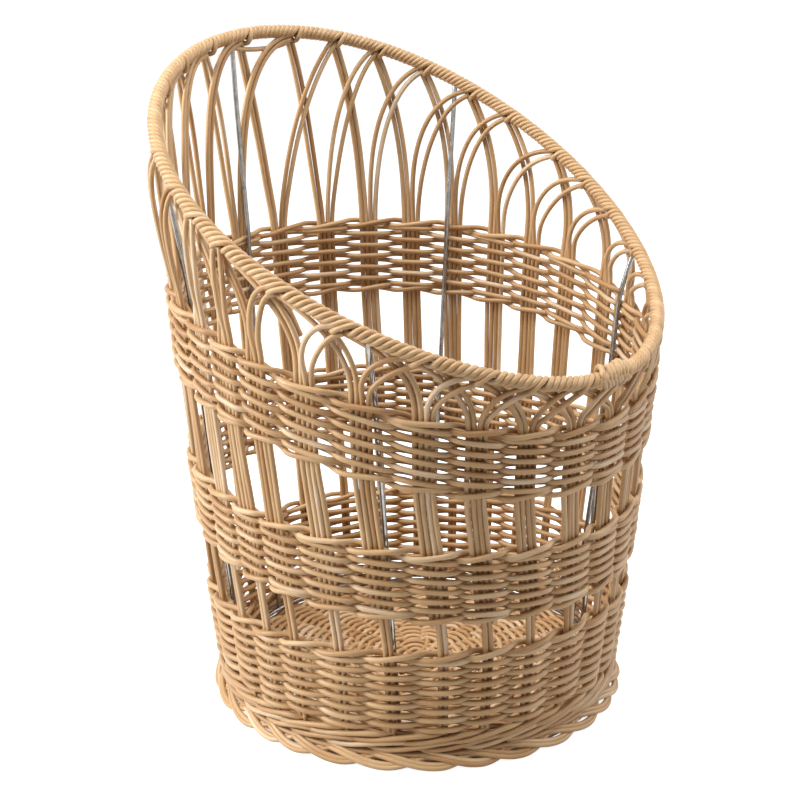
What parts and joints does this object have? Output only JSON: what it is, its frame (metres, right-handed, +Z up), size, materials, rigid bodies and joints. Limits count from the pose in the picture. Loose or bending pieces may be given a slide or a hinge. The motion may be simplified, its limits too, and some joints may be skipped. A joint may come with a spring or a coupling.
{
  "type": "baguette basket",
  "caption": "Round woven cane basket on a steel wire frame, with open bands, crossed arches and a wrapped rim that is high at the back and low at the front.",
  "frame": {"origin": "middle of the bounding box, on the flat underside that the basket stands on", "axes": "+Z up, +Y towards the high back of the rim, -Y towards the low front"},
  "size_m": [0.4032, 0.4018, 0.5248],
  "materials": {
    "cane": "natural round cane, matte, with slight colour changes from cane to cane",
    "steel": "bright plated wire"
  },
  "bodies": {
    "root": {"foot_border": "cane", "base_floor": "cane", "base_ring": "steel", "frame_rod_1": "steel", "frame_rod_2": "steel", "frame_rod_3": "steel", "frame_rod_4": "steel", "frame_rod_5": "steel", "frame_rod_6": "steel", "rim_hoop": "steel", "rim_wrap_1": "cane", "rim_wrap_2": "cane", "rim_wrap_3": "cane", "rim_wrap_4": "cane", "rim_wrap_5": "cane", "rim_wrap_6": "cane", "lower_band": "cane", "middle_band": "cane", "upper_band": "cane", "stake_bundle_01": "cane", "stake_bundle_02": "cane", "stake_bundle_03": "cane", "stake_bundle_04": "cane", "stake_bundle_05": "cane", "stake_bundle_06": "cane", "stake_bundle_07": "cane", "stake_bundle_08": "cane", "stake_bundle_09": "cane", "stake_bundle_10": "cane", "stake_bundle_11": "cane", "stake_bundle_12": "cane", "stake_bundle_13": "cane", "stake_bundle_14": "cane", "stake_bundle_15": "cane", "stake_bundle_16": "cane", "stake_bundle_17": "cane", "stake_bundle_18": "cane", "stake_bundle_19": "cane", "stake_bundle_20": "cane", "stake_bundle_21": "cane", "stake_bundle_22": "cane", "stake_bundle_23": "cane", "stake_bundle_24": "cane", "stake_bundle_25": "cane", "stake_bundle_26": "cane", "stake_bundle_27": "cane", "stake_bundle_28": "cane", "stake_bundle_29": "cane", "stake_bundle_30": "cane"}
  },
  "joints": []
}
